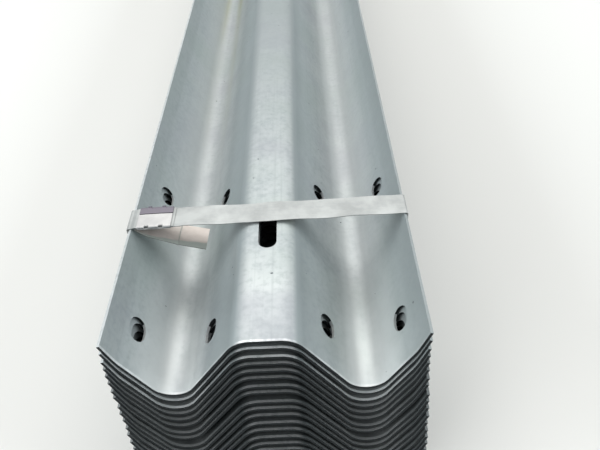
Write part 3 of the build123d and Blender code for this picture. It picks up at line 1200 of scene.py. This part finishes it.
@dataclass
class Band:
    """One steel band: a strip swept along its line, with its slack, creases and loose tail."""

    place: StrapPlace
    face: Material
    back: Material
    line: BandLine
    skew: float  # degrees from square across the rails, about the seal
    phase: float  # of the waves in the run over the top
    tail_dull: float  # painted shade over the tail, away from its near edge
    width: float = 32.0
    columns: tuple[float, ...] = (  # places across the band, closer where the tail's edge folds
        -1.0, -0.9, -0.8, -0.7, -0.6, -0.5, -0.4, -0.2, 0.1, 0.4, 0.7, 1.0,
    )
    edge_round: float = 0.22
    sharp: float = 55.0  # degrees, from which an edge is rounded
    tail_turn: float = 2.4  # degrees, in the tail's plane
    turn_length: float = 6.0  # over which the tail turns
    fold_start: float = 0.06  # of the tail's near edge, in half widths at the seal
    fold_end: float = 0.52  # and at the cut end
    fold_slope: float = 0.25
    fold_dull: float = 0.8  # over which painted shade comes onto the folded edge
    crease_dull: float = 0.5  # how wide painted shade shows along the tail's crease
    level: float = 0.9  # the band has waves where it faces up as much as this
    waves: Pair = (0.5, 92.0)  # height and length
    twist: Pair = (0.4, 61.0)  # the same, of a wave that lifts one edge and lowers the other
    twist_phase: float = 1.9  # of the twist, for each 1 of the waves
    creases: tuple[tuple[float, float, float, float], ...] = (  # height, place, slant and width
        (0.8, 12.0, 0.0, 2.0), (0.55, 78.0, 5.0, 1.6),
    )
    wave_fade: float = 14.0
    wave_from_tip: float = 9.0  # where the waves stop before the rail's far tip

    def middle(self) -> Vector:
        """Return the middle of the seal's box, in millimetres, which the band passes through."""
        return (self.line.seal_low + self.line.seal_high) / 2

    def lift(self, x: float, share: float) -> float:
        """Return how far the run over the top stands off its straight line.

        Args:
            x: The place across the bundle, in millimetres.
            share: The place across the band, from -1 at its near edge to 1 at its far edge.

        Returns:
            Millimetres, outward if positive.
        """
        start = self.line.seal_high.x + self.line.end_past_seal
        end = self.line.crests[0].x + self.line.section.width / 2 - self.wave_from_tip
        if not start < x < end:
            return 0.0
        hold = min(1.0, (x - start) / self.wave_fade, (end - x) / self.wave_fade)
        (height, length), (twist_height, twist_length) = self.waves, self.twist
        lift = height * sin(2 * pi * x / length + self.phase)
        lift += twist_height * share * sin(2 * pi * x / twist_length + self.twist_phase * self.phase)
        for crease_height, place, slant, width in self.creases:
            lift += crease_height * exp(-abs(x - start - place - slant * share) / width)
        return hold * lift

    def stations(self) -> list[Station]:
        """Return the band's cross-sections, from its end in the seal to the tail's cut end.

        Returns:
            The cross-sections, in millimetres.
        """
        points = self.line.points()
        steps = [0.0]
        for (first, _), (last, _) in zip(points, points[1:]):
            steps.append(steps[-1] + (last - first).length)
        tail_start = steps[-1] - sum(leg for leg, _ in self.line.tail_legs)
        middle = self.middle()
        made = []
        for (point, left), run in zip(points, steps):
            tail = max(0.0, run - tail_start)
            turn = radians(self.tail_turn) * min(1.0, tail / self.turn_length)
            y = middle.y + tan(radians(self.skew)) * (point.x - middle.x) - sin(turn) * tail
            across = Vector((sin(turn), cos(turn), 0))
            made.append((Vector((point.x, y, point.y)), across, Vector((-left.x, 0, -left.y)), tail))
        return made

    def mesh(self) -> Mesh:
        """Return the band's mesh, with the share of painted shade at each point.

        Returns:
            The mesh, in metres.
        """
        work = bmesh.new()
        work.verts.layers.float.new("dull")
        heights = (0.0, self.line.strip)
        rows = [[self.side(work, station, height) for height in heights] for station in self.stations()]
        for first, second in zip(rows, rows[1:]):
            for layer in (0, 1):
                bridge(work, first[layer], second[layer], 1 - layer)
            for at in (0, -1):
                work.faces.new((first[0][at], first[1][at], second[1][at], second[0][at]))
        for row in (rows[0], rows[-1]):
            bridge(work, *row)
        mesh = plain_mesh(work, "band")
        for finish in (self.face, self.back):
            mesh.materials.append(finish)
        return round_edges(mesh, self.edge_round, self.sharp)

    def side(self, work: BMesh, station: Station, layer: float) -> list[BMVert]:
        """Add one side of a cross-section.

        Args:
            work: The mesh under construction.
            station: The cross-section.
            layer: The side's height over the band's inner face.

        Returns:
            Its vertices, from the near edge to the far one.
        """
        dull = work.verts.layers.float["dull"]
        middle, across, out, tail = station
        legs = [leg for leg, _ in self.line.tail_legs]
        length, crease_at = sum(legs), sum(legs) - legs[-1] - legs[-2]
        reach = self.fold_start + (self.fold_end - self.fold_start) * tail / length
        crease = exp(-abs(tail - crease_at) / self.crease_dull)
        made = []
        for share in self.columns:
            lift = self.lift(middle.x, share) if out.z > self.level and not tail else 0.0
            beyond = max(0.0, reach - 1 - share) * self.width / 2 if tail else 0.0
            height = layer + lift + self.fold_slope * beyond
            vertex = work.verts.new((middle + across * share * self.width / 2 + out * height) * MM)
            # painted shade on the folded edge, at the crease and over the tail
            shade = max(self.tail_dull, min(1.0, beyond / self.fold_dull), crease)
            vertex[dull] = shade if tail else 0.0
            made.append(vertex)
        return made

    def build(self) -> Object:
        """Make the band and return it."""
        piece = new_object(f"band_{self.place.value}", self.mesh())
        return place_piece(piece, f"strap_{self.place.value}")


@dataclass
class Seal:
    """One seal: a sleeve folded round both layers of a band, crimped twice on each side.

    Its two flanges meet in a seam on top. At each crimp the corner of the sleeve is cut and
    turned up, which leaves a tab on the flange and an open notch in the side.
    """

    place: StrapPlace
    finish: Material
    low: Vector
    high: Vector
    skew: float
    sheet: float = 1.2
    inside_width: float = 32.2
    inside_height: float = 2.1
    corner: float = 1.0
    seam_from_far_edge: float = 11.0
    seam_gap: float = 1.2
    crimp_spacing: float = 16.0
    crimp_length: float = 4.5
    notch_in: float = 2.0
    notch_down: float = 1.8
    tab_length: float = 3.2
    tab_angle: float = 38.0
    tab_shares: Triple = (0.3, 0.65, 1.0)  # of both, along the tab's curl
    crown: float = 0.3
    step: float = 1.3  # between two cross-sections, along the band
    flat_step: float = 2.5  # between two points of a cross-section
    corner_step: float = 15.0  # degrees between two points of a corner
    edge_round: float = 0.2
    sharp: float = 50.0  # degrees, from which an edge is rounded
    weld: float = 0.001  # points nearer than this are joined

    def outline(self) -> dict[str, list[Vector]]:
        """Return the stretches of the sleeve's middle line, across the band and up, by name.

        Returns:
            The whole line, and the three that are left of it at a crimp.
        """
        half_width = (self.inside_width + self.sheet) / 2
        half_height = (self.inside_height + self.sheet) / 2
        seam = self.inside_width / 2 - self.seam_from_far_edge
        cut_in = self.inside_width / 2 - self.notch_in
        cut_down = half_height - self.notch_down - self.sheet / 2
        near_cut, far_cut = Vector((-cut_in, half_height)), Vector((cut_in, half_height))
        top, side = Vector((-half_width, half_height)), Vector((-half_width, cut_down))
        near_corner = [p for p, _ in round_line([near_cut, top, side], [self.corner], self.corner_step)]
        floor = [Vector((-half_width, -half_height)), Vector((half_width, -half_height))]
        line = round_line([side, *floor, Vector((half_width, cut_down))], [self.corner] * 2, self.corner_step)
        belly = [p for p, _ in divided(line, self.flat_step)]
        near_edge = Vector((seam - self.seam_gap / 2, half_height))
        far_edge = Vector((seam + self.seam_gap / 2, half_height))
        up = Vector((0, 1))
        near_flange, far_flange = (
            [p for p, _ in divided([(start, up), (end, up)], self.flat_step)]
            for start, end in ((near_edge, near_cut), (far_cut, far_edge))
        )
        tab = [heading(self.tab_angle * share) * self.tab_length * share for share in self.tab_shares]
        near_tab = [near_cut + Vector((-reach.x, reach.y)) for reach in tab]
        far_tab = [far_cut + reach for reach in tab]
        far_corner = [Vector((-point.x, point.y)) for point in reversed(near_corner)]
        whole = near_flange + near_corner[1:] + belly[1:] + far_corner[1:] + far_flange[1:]
        return {
            "whole": whole,
            "near": near_flange + near_tab,
            "belly": belly,
            "far": far_tab[::-1] + far_flange,
        }

    def stretches(self) -> list[tuple[float, float, tuple[str, ...]]]:
        """Return the sleeve's lengths between cuts, each with the stretches that it has.

        Returns:
            Each length's start and end from the sleeve's middle, and its stretches' names.
        """
        half, crimp = (self.high.x - self.low.x) / 2, self.crimp_length / 2
        inner, outer = self.crimp_spacing / 2 - crimp, self.crimp_spacing / 2 + crimp
        cut = ("near", "belly", "far")
        return [
            (-half, -outer, ("whole",)),
            (-outer, -inner, cut),
            (-inner, inner, ("whole",)),
            (inner, outer, cut),
            (outer, half, ("whole",)),
        ]

    def mesh(self) -> Mesh:
        """Return the sleeve's mesh, whose far flange is marked to be darker.

        Returns:
            The mesh, in metres.
        """
        outline = self.outline()
        work = bmesh.new()
        work.verts.layers.float.new("dull")
        for start, end, names in self.stretches():
            count = max(2, round((end - start) / self.step))
            for name in names:
                places = (start + (end - start) * index / count for index in range(count + 1))
                rows = [self.row(work, outline[name], x) for x in places]
                for first, second in zip(rows, rows[1:]):
                    bridge(work, first, second)
        bmesh.ops.remove_doubles(work, verts=work.verts, dist=self.weld * MM)
        mesh = plain_mesh(work, "seal")
        mesh.materials.append(self.finish)
        return round_edges(mesh, self.edge_round, self.sharp, self.sheet)

    def row(self, work: BMesh, points: Sequence[Vector], x: float) -> list[BMVert]:
        """Add one cross-section of the sleeve.

        Args:
            work: The mesh under construction.
            points: The cross-section's points, across and up.
            x: Its place from the sleeve's middle.

        Returns:
            Its vertices.
        """
        dull = work.verts.layers.float["dull"]
        middle = (self.low + self.high) / 2
        base = self.low.z + self.inside_height / 2 + self.sheet
        half = (self.high.x - self.low.x) / 2
        seam = self.inside_width / 2 - self.seam_from_far_edge
        made = []
        for point in points:
            rise = self.crown * (1 - (x / half) ** 2) if point.y > 0 else 0.0
            y = middle.y + point.x + tan(radians(self.skew)) * x
            vertex = work.verts.new(Vector((middle.x + x, y, base + point.y + rise)) * MM)
            vertex[dull] = 1.0 if point.x > seam else 0.0
            made.append(vertex)
        return made

    def build(self) -> Object:
        """Make the seal and return it."""
        piece = new_object(f"sleeve_{self.place.value}", self.mesh())
        return place_piece(piece, f"seal_{self.place.value}")


@dataclass
class Strapping:
    """The three bands and their seals."""

    bundle: RailBundle
    skews: Triple = (1.25, -0.7, 0.6)  # of the near, the middle and the far band, in degrees
    phases: Triple = (0.7, 2.6, 4.5)
    # painted shade over the tail of each band
    tail_shades: Triple = (0.0, 0.9, 0.9)

    def build(self) -> list[Object]:
        """Make each band with its seal.

        Returns:
            The bands and seals, by turns, from the near end on.
        """
        # the last colour of each is the darkened one: painted shade on the bands' tails, and the seal's
        # darker far flange
        face = RolledStrip("cold_rolled_strapping", "#A6AAAA", "#949898", "#8C8D89").make()
        back = RolledStrip("oiled_strapping_back", "#D2CBC6", "#C3BCB6", "#A9B0AB", 0.5, 0.5).make()
        plate = RolledStrip("zinc_plated_seal", "#B4B5B5", "#A2A3A4", "#6C6972", 0.36, 0.9).make()
        names = reversed(self.bundle.names())
        crests = [Vector((spot.x, spot.z)) / MM for spot in (self.bundle.crest(name) for name in names)]
        pieces = []
        for place, skew, phase, dull in zip(StrapPlace, self.skews, self.phases, self.tail_shades):
            low, high = (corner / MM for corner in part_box(f"seal_{place.value}"))
            line = BandLine(self.bundle.section, crests, low, high)
            pieces.append(Band(place, face, back, line, skew, phase, dull).build())
            pieces.append(Seal(place, plate, low, high, skew).build())
        return pieces


@dataclass(frozen=True)
class Lamp:
    """One soft rectangular lamp. Its places and sides are in metres."""

    name: str
    place: Triple
    aim: Triple
    sides: Pair
    watts: float
    colour: str
    beam: float = 180.0  # degrees

    def hang(self) -> None:
        """Hang the lamp, turned to what it faces."""
        light = bpy.data.lights.new(self.name, "AREA")
        light.color = linear(self.colour)[:3]
        light.shape = "RECTANGLE"
        light.size, light.size_y = self.sides
        light.energy = self.watts
        light.spread = radians(self.beam)
        made = bpy.data.objects.new(self.name, light)
        made.location = self.place
        way = Vector(self.aim) - Vector(self.place)
        made.rotation_euler = way.to_track_quat("-Z", "Y").to_euler()
        bpy.context.scene.collection.objects.link(made)


@dataclass
class Studio:
    """The floor, the lamps and the camera.

    The key hangs high over the bundle's near half, the fill stands behind the camera, and a
    long lamp on each side lights the outer slopes.
    """

    floor_colour: str = "#E9EAE8"
    floor_size: float = 60.0  # metres
    sky_strength: float = 0.32  # of the light that it gives
    shown_strength: float = 1.0  # of the white that the camera and the metal see
    image_width_px: float = 600.0
    focal_px: float = 617.5
    sensor_mm: float = 36.0
    clip_start: float = 0.01  # metres
    yaw: float = -0.0206  # the camera's turns, in radians
    pitch: float = 0.728
    roll: float = -0.0585
    from_crest_mm: Triple = (46.23, -351.97, 455.86)
    lamps: tuple[Lamp, ...] = (
        Lamp("key", (0.0, 0.21, 4.22), (0.0, -1.9, 0.25), (5.4, 3.6), 60.0, "#FFFBF6", 116.0),
        Lamp("fill", (-3.5, -5.5, 3.0), (0.0, -1.8, 0.2), (3.0, 3.0), 100.0, "#FFFFFF"),
        Lamp("left", (-8.6, -1.6, 5.0), (0.0, -1.6, 0.2), (9.0, 4.5), 215.0, "#F2F9FB", 110.0),
        Lamp("right", (8.6, -1.6, 5.0), (0.0, -1.6, 0.2), (9.0, 4.5), 215.0, "#F2F9FB", 110.0),
    )

    def floor(self) -> None:
        """Lay a plain pale floor under the bands."""
        half = self.floor_size / 2
        mesh = bpy.data.meshes.new("floor")
        corners = [(-half, -half, 0), (half, -half, 0), (half, half, 0), (-half, half, 0)]
        mesh.from_pydata(corners, [], [(0, 1, 2, 3)])
        floor = new_object("floor", mesh)
        finish = Finish("pale_floor")
        finish.dress(Base_Color=linear(self.floor_colour), Roughness=0.8, Specular_IOR_Level=0.2)
        mesh.materials.append(finish.material)

    def sky(self) -> None:
        """Light the air evenly, and show it white to the camera and in the metal."""
        world = bpy.data.worlds.new("studio")
        world.use_nodes = True
        tree = world.node_tree
        tree.nodes.clear()
        path = add_node(tree, "ShaderNodeLightPath").outputs
        seen = path["Is Camera Ray"]
        for kind in ("Is Glossy Ray", "Is Transmission Ray"):
            seen = add_node(tree, "ShaderNodeMath", {0: seen, 1: path[kind]}, operation="MAXIMUM")
        lit, shown = (
            add_node(tree, "ShaderNodeBackground", {"Color": WHITE, "Strength": strength})
            for strength in (self.sky_strength, self.shown_strength)
        )
        mix = add_node(tree, "ShaderNodeMixShader", {0: seen, 1: lit, 2: shown})
        add_node(tree, "ShaderNodeOutputWorld", {"Surface": mix})
        bpy.context.scene.world = world

    def camera(self, crest: Vector) -> None:
        """Put the camera where the photograph's was.

        Args:
            crest: The top rail's crest at its near end.
        """
        reach, fall = cos(self.pitch), -sin(self.pitch)
        ahead = Vector((sin(self.yaw) * reach, cos(self.yaw) * reach, fall))
        level = Vector((cos(self.yaw), -sin(self.yaw), 0))
        upright = level.cross(ahead)
        right = level * cos(self.roll) + upright * sin(self.roll)
        up = upright * cos(self.roll) - level * sin(self.roll)
        data = bpy.data.cameras.new("camera")
        data.sensor_width = self.sensor_mm
        data.lens = self.sensor_mm * self.focal_px / self.image_width_px
        data.clip_start = self.clip_start
        made = bpy.data.objects.new("camera", data)
        turn = Matrix((right, up, -ahead)).transposed().to_4x4()
        made.matrix_world = Matrix.Translation(crest + Vector(self.from_crest_mm) * MM) @ turn
        bpy.context.scene.collection.objects.link(made)
        bpy.context.scene.camera = made

    def build(self, crest: Vector) -> None:
        """Set up the whole studio around the near end of the top rail.

        Args:
            crest: The top rail's crest at its near end.
        """
        self.floor()
        self.sky()
        for lamp in self.lamps:
            lamp.hang()
        self.camera(crest)
        bpy.context.scene.view_settings.view_transform = "Standard"


def main() -> None:
    """Build the bundle piece by piece and set up the studio."""
    logging.basicConfig(level=logging.INFO, format="%(name)s: %(message)s")
    # a pale copy of the sheet: the painted highlight on the rims
    rim = GalvanisedSheet(
        "zinc_bead_on_cut_edge", pale="#EEF1F2", middle="#E0E4E6", metal_shares=((-150, 0.35), (150, 0.35))
    )
    bundle = RailBundle(GalvanisedSheet().make(), ShearedEdge().make(), ZincDross().make(), rim.make())
    bundle.build()
    Strapping(bundle).build()
    near_crest = bundle.crest(bundle.names()[-1]) - Vector((0, bundle.length() / 2, 0))
    Studio().build(near_crest)


if __name__ == "__main__":
    main()
